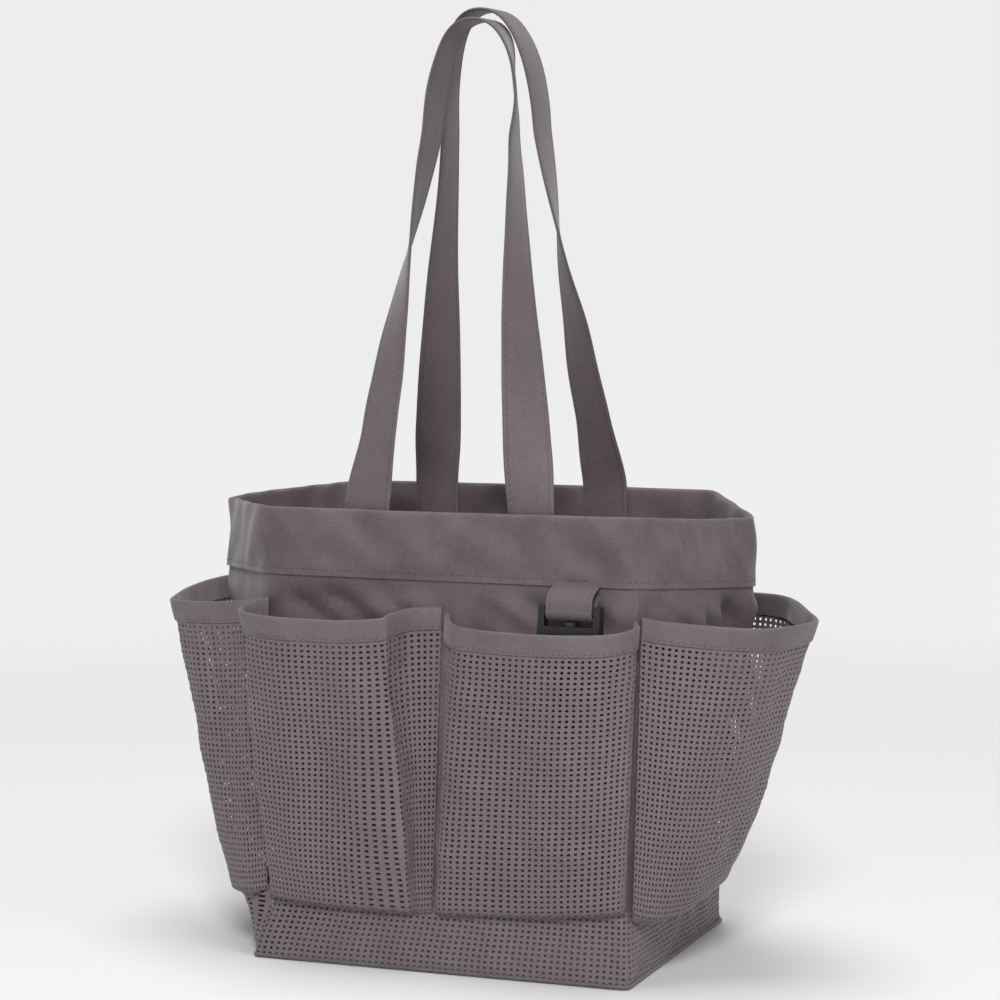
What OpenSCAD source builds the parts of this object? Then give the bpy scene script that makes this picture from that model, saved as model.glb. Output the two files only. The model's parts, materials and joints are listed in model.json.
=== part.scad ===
// Free-standing fabric tote with a mesh base, six mesh pockets, two webbing
// handles and a swivel snap hook on a fabric tab.
// Origin: centre of the base on the floor. +Z up, -Y front, +X right.

/* [Body] */
// Width of the base and of the front and back panels
base_w = 204; // [160:1:260]
// Depth of the base, front to back
base_d = 164; // [130:1:200]
// Depth of the rim, front to back
rim_d = 126; // [100:1:160]
// Height of the front of the rim above the floor
body_h = 233; // [195:1:290]
// How far the rim dips at the two side folds
side_dip = 4; // [0:0.5:8]
// How far the back of the rim stands above the front
back_rise = 4; // [0:0.5:8]
// How far the right side panel folds outwards at the rim
fold_right = 42; // [20:1:56]
// How far the left side panel folds outwards at the rim
fold_left = 54; // [20:1:60]
// Height of the mesh band round the base
band_h = 37; // [25:1:50]

/* [Cloth] */
// Thickness of the doubled woven panels
wall_t = 1.2; // [0.8:0.1:2]
// Thickness of the mesh
mesh_t = 1; // [0.6:0.1:1.5]
// Thickness of each leg of the folded cuff and of the binding tape
hem_t = 1; // [0.6:0.1:1.5]
// Running gap between neighbouring pieces
gap = 0.3; // [0.2:0.05:0.5]

/* [Cuff] */
// Height of the folded cuff round the rim
cuff_h = 34; // [20:1:45]

/* [Pockets] */
// Height of the sewn floor of the pockets
pocket_floor_z = 33; // [22:1:48]
// Height of the pocket mouths at their seams
mouth_seam_z = 185; // [150:1:190]
// How far a pocket mouth dips from its seams to its face
mouth_dip = 7; // [0:1:15]
// Depth of the front and back pockets at the mouth
front_depth = 30; // [15:1:40]
// Depth of the right pocket at the mouth, from the corner seams
right_depth = 74; // [60:1:90]
// Depth of the left pocket at the mouth, from the corner seams
left_depth = 80; // [66:1:95]
// Depth of every pocket at its sewn floor
floor_depth = 4.5; // [3:0.5:8]
// Place of the seam between the two front pockets
divider_x = -1.5; // [-30:0.5:30]
// Height of the binding tape on the pocket mouths
tape_h = 10.5; // [6:0.5:16]

/* [Handles] */
// Width of the webbing
strap_w = 25; // [18:0.5:32]
// Thickness of the webbing
strap_t = 1.8; // [1.2:0.1:3]
// Height of the handle loops above the rim
handle_rise = 251; // [180:1:320]
// Distance between the legs of the front handle
front_legs = 90; // [70:1:130]
// Distance between the legs of the back handle
back_legs = 98; // [70:1:130]
// Middle of the front handle's legs
front_mid_x = -2; // [-12:0.5:12]
// Middle of the back handle's legs
back_mid_x = -7; // [-12:0.5:12]
// Place of the top of both loops, left or right of the middle
apex_x = -6; // [-12:0.5:12]
// Width of the loops where the arch begins
arch_w = 48; // [36:1:70]
// Height of the arch
arch_h = 62; // [40:1:90]
// Length of webbing sewn down inside the rim
sewn_h = 30; // [18:1:40]

/* [Snap hook] */
// Place of the fabric tab and the hook, right of the middle
clip_x = 69.5; // [40:0.5:80]
// Drop from the cuff's lower edge to the webbing bar
clip_drop = 12; // [9:0.5:20]
// Distance from the front panel to the hook's axis
clip_off = 10.5; // [9.5:0.5:14]
// Width of the fabric tab
tab_w = 24; // [16:0.5:28]
// Thickness of the tab webbing
tab_t = 1.4; // [1:0.1:2]
// Radius of the webbing bar
bar_r = 2.3; // [1.8:0.1:3]
// Length from the webbing bar to the lowest point of the hook
hook_len = 57.5; // [54:0.5:70]
// Outer radius of the hook's round end
hook_r = 8.2; // [7.6:0.1:8.8]
// Inner radius of the hook's round end
eye_r = 4.4; // [3.6:0.1:5]
// Thickness of the hook
hook_t = 4.6; // [4:0.1:6]
// Radius of the swivel post
post_r = 2.5; // [2:0.1:3]

/* [Hidden] */

fabric = [0.43, 0.39, 0.39];
mesh = [0.47, 0.43, 0.43];
trim = [0.39, 0.35, 0.35];
plastic = [0.04, 0.04, 0.045];

// Rim corners in plan, anticlockwise from the front left; 2 and 5 are the side folds
FRONT = [0, 1];
RIGHT = [1, 2, 3];
BACK = [3, 4];
LEFT = [4, 5, 0];
RIM_Z = [
    body_h, body_h, body_h - side_dip,
    body_h + back_rise, body_h + back_rise, body_h - side_dip
];
fold_power = 0.7;
// Above this height the cuff holds the walls upright
neck_z = body_h - cuff_h - side_dip - 1;

function half_w() = base_w / 2;
function half_d(z) = (base_d + (rim_d - base_d) * min(1, z / neck_z)) / 2;
function fold(z, reach) = reach * pow(max(0, min(1, (z - band_h) / (neck_z - band_h))), fold_power);
function corner(i, z) =
    i == 0 ? [-half_w(), -half_d(z)] :
    i == 1 ? [half_w(), -half_d(z)] :
    i == 2 ? [half_w() + fold(z, fold_right), 0] :
    i == 3 ? [half_w(), half_d(z)] :
    i == 4 ? [-half_w(), half_d(z)] :
    [-half_w() - fold(z, fold_left), 0];
function unit(v) = v / norm(v);
function out_normal(a, b) = unit([b.y - a.y, a.x - b.x]);

// Corner i at height z, moved outwards by o with both panels that meet there
function ring(i, z, o) =
    let (a = corner((i + 5) % 6, z), b = corner(i, z), c = corner((i + 1) % 6, z))
    let (n = out_normal(a, b), m = out_normal(b, c))
    let (p = b + o * (n + m) / (1 + n * m))
    [p.x, p.y, z];

// The same corner, drawn back along its panel by s so that two panels don't meet
function drawn_back(ids, k, z, o, s) =
    let (p = ring(ids[k], z, o), last = len(ids) - 1)
    k == 0 ? p + s * unit(ring(ids[1], z, o) - p) :
    k == last ? p + s * unit(ring(ids[last - 1], z, o) - p) : p;

function quad(a, b, c, d) = [[a, b, c], [a, c, d]];

// Closed sheet between two grids of points with the same rows and columns
module slab(outer, inner) {
    rows = len(outer);
    cols = len(outer[0]);
    n = rows * cols;
    function at(r, c, k) = k * n + r * cols + c;
    points = concat([for (row = outer) each row], [for (row = inner) each row]);
    faces = concat(
        [for (r = [0:rows - 2], c = [0:cols - 2])
            each quad(at(r, c, 0), at(r + 1, c, 0), at(r + 1, c + 1, 0), at(r, c + 1, 0))],
        [for (r = [0:rows - 2], c = [0:cols - 2])
            each quad(at(r, c, 1), at(r, c + 1, 1), at(r + 1, c + 1, 1), at(r + 1, c, 1))],
        [for (c = [0:cols - 2])
            each quad(at(0, c, 0), at(0, c + 1, 0), at(0, c + 1, 1), at(0, c, 1))],
        [for (c = [0:cols - 2], r = [rows - 1])
            each quad(at(r, c + 1, 0), at(r, c, 0), at(r, c, 1), at(r, c + 1, 1))],
        [for (r = [0:rows - 2])
            each quad(at(r + 1, 0, 0), at(r, 0, 0), at(r, 0, 1), at(r + 1, 0, 1))],
        [for (r = [0:rows - 2], c = [cols - 1])
            each quad(at(r, c, 0), at(r + 1, c, 0), at(r + 1, c, 1), at(r, c, 1))]
    );
    polyhedron(points, faces, convexity = 10);
}

// Closed solid from a list of equal sections; a ring when loop is true
module sweep(sections, loop = false) {
    rows = len(sections);
    cols = len(sections[0]);
    points = [for (section = sections) each section];
    function at(r, c) = (r % rows) * cols + c % cols;
    // Faces that run down a section are split the other way, so that they match the slab they hug
    function runs_down(c) = sections[0][(c + 1) % cols].z < sections[0][c].z;
    walls = [for (r = [0:rows - (loop ? 1 : 2)], c = [0:cols - 1])
        each runs_down(c)
            ? quad(at(r, c + 1), at(r + 1, c + 1), at(r + 1, c), at(r, c))
            : quad(at(r, c), at(r, c + 1), at(r + 1, c + 1), at(r + 1, c))];
    // Each end is capped by quads between the two legs of its section
    caps = loop ? [] : concat(
        [for (c = [0:cols / 2 - 2])
            each quad(at(0, cols - 1 - c), at(0, cols - 2 - c), at(0, c + 1), at(0, c))],
        [for (c = [0:cols / 2 - 2])
            each quad(at(rows - 1, c), at(rows - 1, c + 1), at(rows - 1, cols - 2 - c), at(rows - 1, cols - 1 - c))]
    );
    polyhedron(points, concat(walls, caps), convexity = 10);
}

/* ---- panels, base and cuff ---- */

wall_rows = 4;
seam_gap = gap / 2;
floor_t = mesh_t;

// Panel along the corners ids, t thick about the wall's middle; levels holds a row of heights for each row
module panel(ids, levels, t) {
    function layer(o) = [for (row = levels)
        [for (k = [0:len(ids) - 1]) drawn_back(ids, k, row[k], o, seam_gap)]];
    slab(layer(t / 2), layer(-t / 2));
}

module base_band(ids) {
    color(mesh) panel(ids, [for (z = [floor_t + gap, band_h - seam_gap]) [for (i = ids) z]], mesh_t);
}

module wall(ids) {
    low = band_h + seam_gap;
    levels = concat(
        [for (r = [0:wall_rows]) [for (i = ids) low + (neck_z - low) * r / wall_rows]],
        [[for (i = ids) RIM_Z[i]]]
    );
    color(fabric) panel(ids, levels, wall_t);
}

module bottom_panel() {
    color(mesh) translate([-half_w(), -base_d / 2, 0]) cube([base_w, base_d, floor_t]);
}

cuff_in = wall_t / 2 + gap;
cuff_out = cuff_in + hem_t;

module top_cuff() {
    profile = [
        [cuff_out, -cuff_h], [cuff_out, gap + hem_t], [-cuff_out, gap + hem_t], [-cuff_out, -cuff_h],
        [-cuff_in, -cuff_h], [-cuff_in, gap], [cuff_in, gap], [cuff_in, -cuff_h]
    ];
    // Each section hangs from its own corner, so the cuff follows the dip of the rim
    color(fabric) sweep([for (i = [0:5])
        [for (p = profile)
            let (q = ring(i, RIM_Z[i] + min(p.y, 0), p.x)) [q.x, q.y, RIM_Z[i] + p.y]]], loop = true);
}

/* ---- pockets and their tapes ---- */

pocket_rows = 6;
pocket_steps = [-1, -0.97, -0.86, -0.55, 0, 0.55, 0.86, 0.97, 1];
mouth_face_z = mouth_seam_z - mouth_dip;
pocket_off = cuff_in;
// Extra room between the folded side panels and the side pockets' seams
side_ease = 0.5;
// Room beside each pocket seam: the tape's leg and half a gap
seam_room = mesh_t / 2 + gap + hem_t + gap / 2;

// A pocket is [side, low end, high end, depth at the mouth, profile power, squareness]
// side: "front" and "back" run along X, "right" and "left" along Y
POCKET_FL = ["front", -half_w() + seam_room, divider_x - seam_room, front_depth, 0.75, 4];
POCKET_FR = ["front", divider_x + seam_room, half_w() - seam_room, front_depth, 0.75, 4];
POCKET_BL = ["back", -half_w() + seam_room, divider_x - seam_room, front_depth, 0.75, 4];
POCKET_BR = ["back", divider_x + seam_room, half_w() - seam_room, front_depth, 0.75, 4];
POCKET_R = ["right", -1, 1, right_depth, 0.75, 3];
POCKET_L = ["left", -1, 1, left_depth, 0.5, 3];

// Outer face of a folded side panel, with room for a pocket seam; hug falls to 0 where the pocket stands off
function side_wall_x(y, z, reach, hug) =
    let (slope = fold(z, reach) / half_d(z))
    half_w() + (pocket_off + side_ease) * norm([1, slope]) + hug * slope * (half_d(z) - abs(y));
function bulge(u, n) = pow(max(0, 1 - pow(abs(u), n)), 1 / n);
function rise(z) = max(0, min(1, (z - pocket_floor_z) / (mouth_face_z - pocket_floor_z)));
function depth_at(p, z) = floor_depth + (p[3] - floor_depth) * pow(rise(z), p[4]);
function mouth_z(p, u) = mouth_seam_z - mouth_dip * bulge(u, p[5]);

// Point of pocket p: u across from seam to seam, z up, o outwards from the middle of the mesh,
// share of the pocket's depth (0 on the wall, 1 on the face)
function pocket_pt(p, u, z, o, share = 1) =
    let (b = bulge(u, p[5]), d = share * (depth_at(p, z) + o) * b)
    let (x = (p[1] + p[2]) / 2 + ((p[2] - p[1]) / 2 + o) * u)
    let (y = (half_d(z) - seam_room + o) * u)
    p[0] == "front" ? [x, -half_d(z) - pocket_off - d, z] :
    p[0] == "back" ? [x, half_d(z) + pocket_off + d, z] :
    p[0] == "right" ? [side_wall_x(y, z, fold_right, 1 - share * b) + d, y, z] :
    [-side_wall_x(y, z, fold_left, 1 - share * b) - d, y, z];

// Columns run anticlockwise in plan on every side of the bag
function steps(p) = p[0] == "front" || p[0] == "right" ? pocket_steps : -pocket_steps;

// Rows of a pocket: the floor's inner edge (share 0), its outer edge, the face up to the tape, the mouth
module pocket(p) {
    function tape_low(u) = mouth_z(p, u) - tape_h;
    function height(u, r) = pocket_floor_z + (tape_low(u) - pocket_floor_z) * r / pocket_rows;
    function row(o, lift, r, share) =
        [for (u = steps(p)) pocket_pt(p, u, max(height(u, r), pocket_floor_z + lift), o, share)];
    function layer(o, lift) = concat(
        [row(o, lift, 0, 0)],
        [for (r = [0:pocket_rows]) row(o, lift, r, 1)],
        [[for (u = steps(p)) pocket_pt(p, u, mouth_z(p, u), o)]]
    );
    color(mesh) slab(layer(mesh_t / 2, 0), layer(-mesh_t / 2, mesh_t));
}

tape_in = mesh_t / 2 + gap;
tape_out = tape_in + hem_t;

module tape(p) {
    profile = [
        [tape_out, -tape_h], [tape_out, gap + hem_t], [-tape_out, gap + hem_t], [-tape_out, -tape_h],
        [-tape_in, -tape_h], [-tape_in, gap], [tape_in, gap], [tape_in, -tape_h]
    ];
    color(trim) sweep([for (u = steps(p))
        [for (q = profile) pocket_pt(p, u, mouth_z(p, u) + q.y, q.x)]]);
}

/* ---- handles ---- */

// Height of a handle's hinge line above its own rim, and its place inside the cuff
hinge_up = 3.8;
strap_in = cuff_out + gap + strap_t / 2;
// Room below the hinge line for the foot of the leaning strap
foot_room = 2.3;
hinge_y = rim_d / 2 - strap_in;
loops_apart = gap;
leg_steps = 12;
arch_steps = 12;

function smooth(f) = f * f * (3 - 2 * f);

// Half of a handle's path, from the foot (f = 0) to the start of the arch (f = 1) to the top (f = 2):
// [half width, height above the hinge line]
function half_path(legs, f) =
    let (leg_h = handle_rise - arch_h)
    f <= 1 ? [legs / 2 + (arch_w - legs) / 2 * f, leg_h * f] :
    [arch_w / 2 * cos(90 * (f - 1)), leg_h + arch_h * sin(90 * (f - 1))];

// Point of a handle at f = -2 .. 2: negative on the left leg, 0 at the top, positive on the right
function handle_pt(legs, mid, s, f) =
    let (q = half_path(legs, 2 - abs(f)), share = q.y / handle_rise)
    let (top_y = s * (strap_w / 2 + loops_apart))
    [mid + (apex_x - mid) * share + sign(f) * q.x, s * hinge_y + (top_y - s * hinge_y) * share, q.y];

// Flat webbing turns a quarter on its way up each leg, so that its outer face stays outside
function turn(f) = abs(f) <= 1 ? 90 : 90 * smooth(2 - abs(f));

function strap_section(legs, mid, s, f) =
    let (e = 0.02)
    let (p = handle_pt(legs, mid, s, f))
    let (t = unit(handle_pt(legs, mid, s, min(2, f + e)) - handle_pt(legs, mid, s, max(-2, f - e))))
    let (a = s * (f < 0 ? turn(f) : 180 - turn(f)))
    let (w0 = [cos(a), sin(a), 0], w = unit(w0 - (w0 * t) * t), n = cross(t, w))
    [for (c = [[-1, -1], [1, -1], [1, 1], [-1, 1]]) p + c[0] * strap_w / 2 * w + c[1] * strap_t / 2 * n];

handle_steps = concat(
    [for (k = [0:leg_steps]) -2 + k / leg_steps],
    [for (k = [1:2 * arch_steps - 1]) -1 + k / arch_steps],
    [for (k = [0:leg_steps]) 1 + k / leg_steps]
);

module handle(legs, mid, s, rim_z) {
    color(trim) translate([0, 0, rim_z + hinge_up])
        sweep([for (f = handle_steps) strap_section(legs, mid, s, f)]);
}

// The sewn ends lie flat inside the cuff and reach up to the handle's foot
module handle_ends(legs, mid, s, rim_z) {
    top = rim_z + hinge_up - foot_room;
    low = rim_z - sewn_h;
    lean = s * (half_d(low) - half_d(rim_z));
    for (side = [-1, 1])
        color(trim) translate([mid + side * legs / 2 - strap_w / 2, 0, 0])
            rotate([90, 0, 90]) linear_extrude(strap_w)
                polygon([
                    [s * hinge_y + lean - strap_t / 2, low], [s * hinge_y + lean + strap_t / 2, low],
                    [s * hinge_y + strap_t / 2, top], [s * hinge_y - strap_t / 2, top]
                ]);
}

/* ---- tab and snap hook ---- */

clip_z = body_h - cuff_h - clip_drop;
clip_tilt = -atan((base_d - rim_d) / 2 / neck_z);
clip_y = -half_d(clip_z) - wall_t / 2 - clip_off;
run_fit = 0.08;
arm_gap = tab_w / 2 + 0.9;
arm_w = 3.4;
arm_up = 3.4;
frame_t = 7.4;
cross_top = -7;
cross_h = 14;
head_r = 4;
head_h = 2;
collar_r = 3.9;
collar_h = 2.6;
cross_low = cross_top - cross_h;
collar_low = cross_low - gap - collar_h;
eye_low_z = -hook_len + hook_r;
eye_top_z = eye_low_z + 15.5;
limb_mid = (hook_r + eye_r) / 2;
pivot_x = limb_mid;
pivot_z = eye_top_z - 0.8;
pin_r = 0.9;
gate_w = 2.4;
gate_t = hook_t / 2 + 0.2;
gate_eye_r = 1.9;
nose_z = pivot_z - 14.5;
nose_w = 2.4;
gate_low = nose_z - 1.6;
gate_reach = [hook_r - nose_w - gap - gate_w / 2 - pivot_x, gate_low - pivot_z];

module at_clip() {
    translate([clip_x, clip_y, clip_z]) rotate([clip_tilt, 0, 0]) children();
}

// Extrude an outline drawn in the XZ plane, t thick about Y = 0
module plate(t) {
    rotate([90, 0, 0]) linear_extrude(t, center = true) children();
}

// The tab runs down from the panel, under the webbing bar and back up to the panel
module clip_tab() {
    r = bar_r + gap + tab_t / 2;
    root_y = clip_off - gap - tab_t / 2;
    path = concat(
        [[root_y - tab_t - gap, clip_drop - gap]],
        [for (a = [150:10:390]) r * [cos(a), sin(a)]],
        [[root_y, clip_drop - gap - 5]]
    );
    last = len(path) - 1;
    function along(i) = unit(path[min(i + 1, last)] - path[max(i - 1, 0)]);
    function edge(i, o) = path[i] + o * [along(i).y, -along(i).x];
    color(fabric) at_clip() translate([-tab_w / 2, 0, 0]) rotate([90, 0, 90])
        linear_extrude(tab_w) polygon(concat(
            [for (i = [0:last]) edge(i, tab_t / 2)],
            [for (i = [last:-1:0]) edge(i, -tab_t / 2)]
        ));
}

module clip_frame() {
    color(plastic) at_clip() difference() {
        union() {
            rotate([0, 90, 0]) cylinder(h = 2 * arm_gap + 2, r = bar_r, center = true, $fn = 48);
            for (s = [-1, 1])
                translate([s * (arm_gap + arm_w / 2), 0, (arm_up + cross_low) / 2])
                    cube([arm_w, frame_t - 1.4, arm_up - cross_low], center = true);
            translate([0, 0, cross_top - cross_h / 2])
                cube([2 * (arm_gap + arm_w), frame_t, cross_h], center = true);
        }
        translate([0, 0, cross_low - 1]) cylinder(h = cross_h + 2, r = post_r + run_fit, $fn = 64);
    }
}

module stadium(r, low, high) {
    translate([0, low]) circle(r, $fn = 64);
    translate([-r, low]) square([2 * r, high - low]);
    translate([0, high]) circle(r, $fn = 64);
}

module hook_body() {
    color(plastic) at_clip() {
        // Swivel head, post and collar
        translate([0, 0, cross_top + gap]) cylinder(h = head_h, r = head_r, $fn = 64);
        translate([0, 0, collar_low]) cylinder(h = cross_top + 1 - collar_low, r = post_r, $fn = 64);
        translate([0, 0, collar_low]) cylinder(h = collar_h, r = collar_r, $fn = 64);
        difference() {
            plate(hook_t) difference() {
                union() {
                    stadium(hook_r, eye_low_z, eye_top_z);
                    translate([-collar_r, eye_top_z])
                        square([2 * collar_r, collar_low - eye_top_z + 0.5]);
                }
                stadium(eye_r, eye_low_z, eye_top_z);
                // Mouth of the hook, closed by the gate
                translate([0, nose_z]) square([hook_r + 1, pivot_z - gate_eye_r - gap - nose_z]);
                // The nose is slimmer than the limb, so that the gate closes inside it
                translate([0, gate_low - 1.5]) square([hook_r - nose_w, nose_z - gate_low + 1.5]);
            }
            // Fork for the gate's eye
            plate(gate_t + 2 * gap)
                translate([0, nose_z]) square([hook_r + 1, pivot_z + gate_eye_r + gap - nose_z]);
        }
        translate([pivot_x, 0, pivot_z]) rotate([90, 0, 0])
            cylinder(h = hook_t, r = pin_r, center = true, $fn = 48);
    }
}

module hook_gate() {
    long = norm(gate_reach);
    lean = atan2(gate_reach.x, -gate_reach.y);
    color(plastic) at_clip() translate([pivot_x, 0, pivot_z])
        plate(gate_t) rotate(lean) difference() {
            union() {
                circle(gate_eye_r, $fn = 48);
                translate([-gate_w / 2, -long]) square([gate_w, long]);
                translate([0, -long]) circle(gate_w / 2, $fn = 32);
            }
            circle(pin_r + run_fit, $fn = 48);
        }
}

bottom_panel();
base_band(FRONT);  // base_band_front
base_band(RIGHT);  // base_band_right
base_band(BACK);  // base_band_back
base_band(LEFT);  // base_band_left
wall(FRONT);  // wall_front
wall(RIGHT);  // wall_right
wall(BACK);  // wall_back
wall(LEFT);  // wall_left
top_cuff();
pocket(POCKET_FL);  // pocket_front_left
pocket(POCKET_FR);  // pocket_front_right
pocket(POCKET_R);  // pocket_right
pocket(POCKET_BL);  // pocket_back_left
pocket(POCKET_BR);  // pocket_back_right
pocket(POCKET_L);  // pocket_left
tape(POCKET_FL);  // tape_front_left
tape(POCKET_FR);  // tape_front_right
tape(POCKET_R);  // tape_right
tape(POCKET_BL);  // tape_back_left
tape(POCKET_BR);  // tape_back_right
tape(POCKET_L);  // tape_left
handle(front_legs, front_mid_x, -1, RIM_Z[0]);  // handle_front
handle(back_legs, back_mid_x, 1, RIM_Z[3]);  // handle_back
handle_ends(front_legs, front_mid_x, -1, RIM_Z[0]);  // handle_front_ends
handle_ends(back_legs, back_mid_x, 1, RIM_Z[3]);  // handle_back_ends
clip_tab();
clip_frame();
hook_body();
hook_gate();
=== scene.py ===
"""Looks of a free-standing mesh tote: six net pockets, a woven body with a folded cuff, two webbing
handles and a snap hook on a tab. Lengths are millimetres until a mesh is made."""

import json
import math

import bmesh
import bpy
import numpy as np
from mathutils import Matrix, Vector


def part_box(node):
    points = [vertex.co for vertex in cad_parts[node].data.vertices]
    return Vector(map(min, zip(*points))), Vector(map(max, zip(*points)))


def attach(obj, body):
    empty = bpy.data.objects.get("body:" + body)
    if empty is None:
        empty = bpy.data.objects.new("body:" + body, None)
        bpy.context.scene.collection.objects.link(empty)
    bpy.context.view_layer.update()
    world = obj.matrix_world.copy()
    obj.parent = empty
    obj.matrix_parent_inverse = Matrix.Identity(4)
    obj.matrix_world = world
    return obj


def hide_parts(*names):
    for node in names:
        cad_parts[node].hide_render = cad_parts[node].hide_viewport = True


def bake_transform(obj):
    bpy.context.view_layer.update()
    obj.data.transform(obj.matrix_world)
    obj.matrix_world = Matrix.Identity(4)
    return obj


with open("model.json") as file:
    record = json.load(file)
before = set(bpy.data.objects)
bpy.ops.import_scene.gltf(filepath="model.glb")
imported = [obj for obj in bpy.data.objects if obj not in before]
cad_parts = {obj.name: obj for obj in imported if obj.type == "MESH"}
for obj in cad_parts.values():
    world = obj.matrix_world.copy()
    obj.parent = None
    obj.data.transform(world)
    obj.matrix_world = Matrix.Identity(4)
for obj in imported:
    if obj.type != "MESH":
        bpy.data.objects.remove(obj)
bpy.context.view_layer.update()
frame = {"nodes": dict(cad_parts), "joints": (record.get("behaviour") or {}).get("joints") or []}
MM = 0.001


# ---- measures of the frame ----

def low(node):
    return np.array(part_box(node)[0]) / MM


def high(node):
    return np.array(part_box(node)[1]) / MM


def joint(name):
    return next(j for j in frame["joints"] if j["name"] == name)


def corners_of(node):
    return np.array([v.co for v in frame["nodes"][node].data.vertices]) / MM


WALL_T = 1.0
NET_T = 0.75
HALF_W = high("bottom_panel")[0]
BASE_HALF_D = high("bottom_panel")[1]
RIM_HALF_D = -(high("wall_front")[1] + low("top_cuff")[1]) / 2
BAND = high("base_band_front")[2]
RIM_FRONT = high("wall_front")[2]
RIM_BACK = high("wall_back")[2]
side_wall = corners_of("wall_right")
RIM_SIDE = side_wall[side_wall[:, 0] > side_wall[:, 0].max() - 1, 2].max()
CUFF_H = RIM_SIDE - low("top_cuff")[2]
NECK = RIM_SIDE - CUFF_H - 1
FOLD_RIGHT = high("wall_right")[0] - HALF_W - WALL_T
FOLD_LEFT = -low("wall_left")[0] - HALF_W - WALL_T
FOLD_POWER = 0.75
# The side panels are at their full width from here up
FOLD_TOP = NECK - 14


# ---- small tools ----

def smooth(f):
    f = np.clip(f, 0, 1)
    return f * f * (3 - 2 * f)


def unit(v):
    return v / np.maximum(np.linalg.norm(v, axis=-1, keepdims=True), 1e-9)


def ripple(a, b, size, seed, waves=8):
    """Smooth unevenness, mostly between -1 and 1, over two lengths, with humps about size apart."""
    rng = np.random.default_rng(seed)
    total = 0
    for _ in range(waves):
        angle, stretch, phase = rng.uniform(0, math.tau), rng.uniform(0.6, 1.5), rng.uniform(0, math.tau)
        k = math.tau / size * stretch
        total = total + np.cos(k * (a * math.cos(angle) + b * math.sin(angle)) + phase)
    return total / math.sqrt(waves)


def catmull(points, q):
    """Smooth curve through points; q counts points from 0 to len(points) - 1."""
    points = np.asarray(points, float)
    padded = np.vstack([2 * points[0] - points[1], points, 2 * points[-1] - points[-2]])
    k = np.clip(np.floor(q).astype(int), 0, len(points) - 2)
    f = (q - k)[..., None]
    a, b, c, d = (padded[k + j] for j in range(4))
    return 0.5 * (2 * b + (c - a) * f + (2 * a - 5 * b + 4 * c - d) * f**2 + (3 * b - a - 3 * c + d) * f**3)


def distances(curve):
    """Distance of each point of a curve from its first, along the curve."""
    return np.concatenate([[0], np.cumsum(np.linalg.norm(np.diff(curve, axis=0), axis=1))])


def grid_normals(points, wrap=False):
    """Outward normals of a grid whose columns run anticlockwise in plan and whose rows run upwards."""
    if wrap:
        padded = np.concatenate([points[:, -2:], points, points[:, :2]], axis=1)
        across = np.gradient(padded, axis=1)[:, 2:-2]
    else:
        across = np.gradient(points, axis=1)
    return unit(np.cross(across, np.gradient(points, axis=0)))


def lengths(points):
    """Distance in metres of each grid point from the first column and the first row."""
    across = np.linalg.norm(np.diff(points, axis=1), axis=2).mean(0)
    along = np.linalg.norm(np.diff(points, axis=0), axis=2).mean(1)
    u = np.concatenate([[0], np.cumsum(across)])
    v = np.concatenate([[0], np.cumsum(along)])
    return np.stack(np.meshgrid(u, v), axis=2) * MM


# ---- mesh making ----

def linked(name, data):
    """New object in the scene."""
    obj = bpy.data.objects.new(name, data)
    bpy.context.scene.collection.objects.link(obj)
    return obj


def new_object(name, vertices, faces, material, uv=None, sharp=50):
    """Mesh object from millimetre points and a list of equal faces."""
    faces = np.asarray(faces, np.int32)
    mesh = bpy.data.meshes.new(name)
    mesh.vertices.add(len(vertices))
    mesh.vertices.foreach_set("co", (np.asarray(vertices) * MM).astype(np.float32).ravel())
    mesh.loops.add(faces.size)
    mesh.loops.foreach_set("vertex_index", faces.ravel())
    mesh.polygons.add(len(faces))
    mesh.polygons.foreach_set("loop_start", np.arange(0, faces.size, faces.shape[1], dtype=np.int32))
    mesh.update(calc_edges=True)
    if uv is not None:
        layer = mesh.uv_layers.new(name="cloth")
        layer.uv.foreach_set("vector", uv[faces.ravel()].astype(np.float32).ravel())
    mesh.polygons.foreach_set("use_smooth", np.ones(len(faces), bool))
    mesh.set_sharp_from_angle(angle=math.radians(sharp))
    mesh.materials.append(material)
    return linked(name, mesh)


def ring_faces(rings, sides, closed=False):
    """Quads between rings of points, one after another, and back to the first ring if closed."""
    rows, cols = np.arange(rings if closed else rings - 1)[:, None], np.arange(sides)[None]
    onward, ahead = (cols + 1) % sides, (rows + 1) % rings * sides
    quads = [rows * sides + cols, rows * sides + onward, ahead + onward, ahead + cols]
    return np.stack(quads, axis=-1).reshape(-1, 4)


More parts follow.
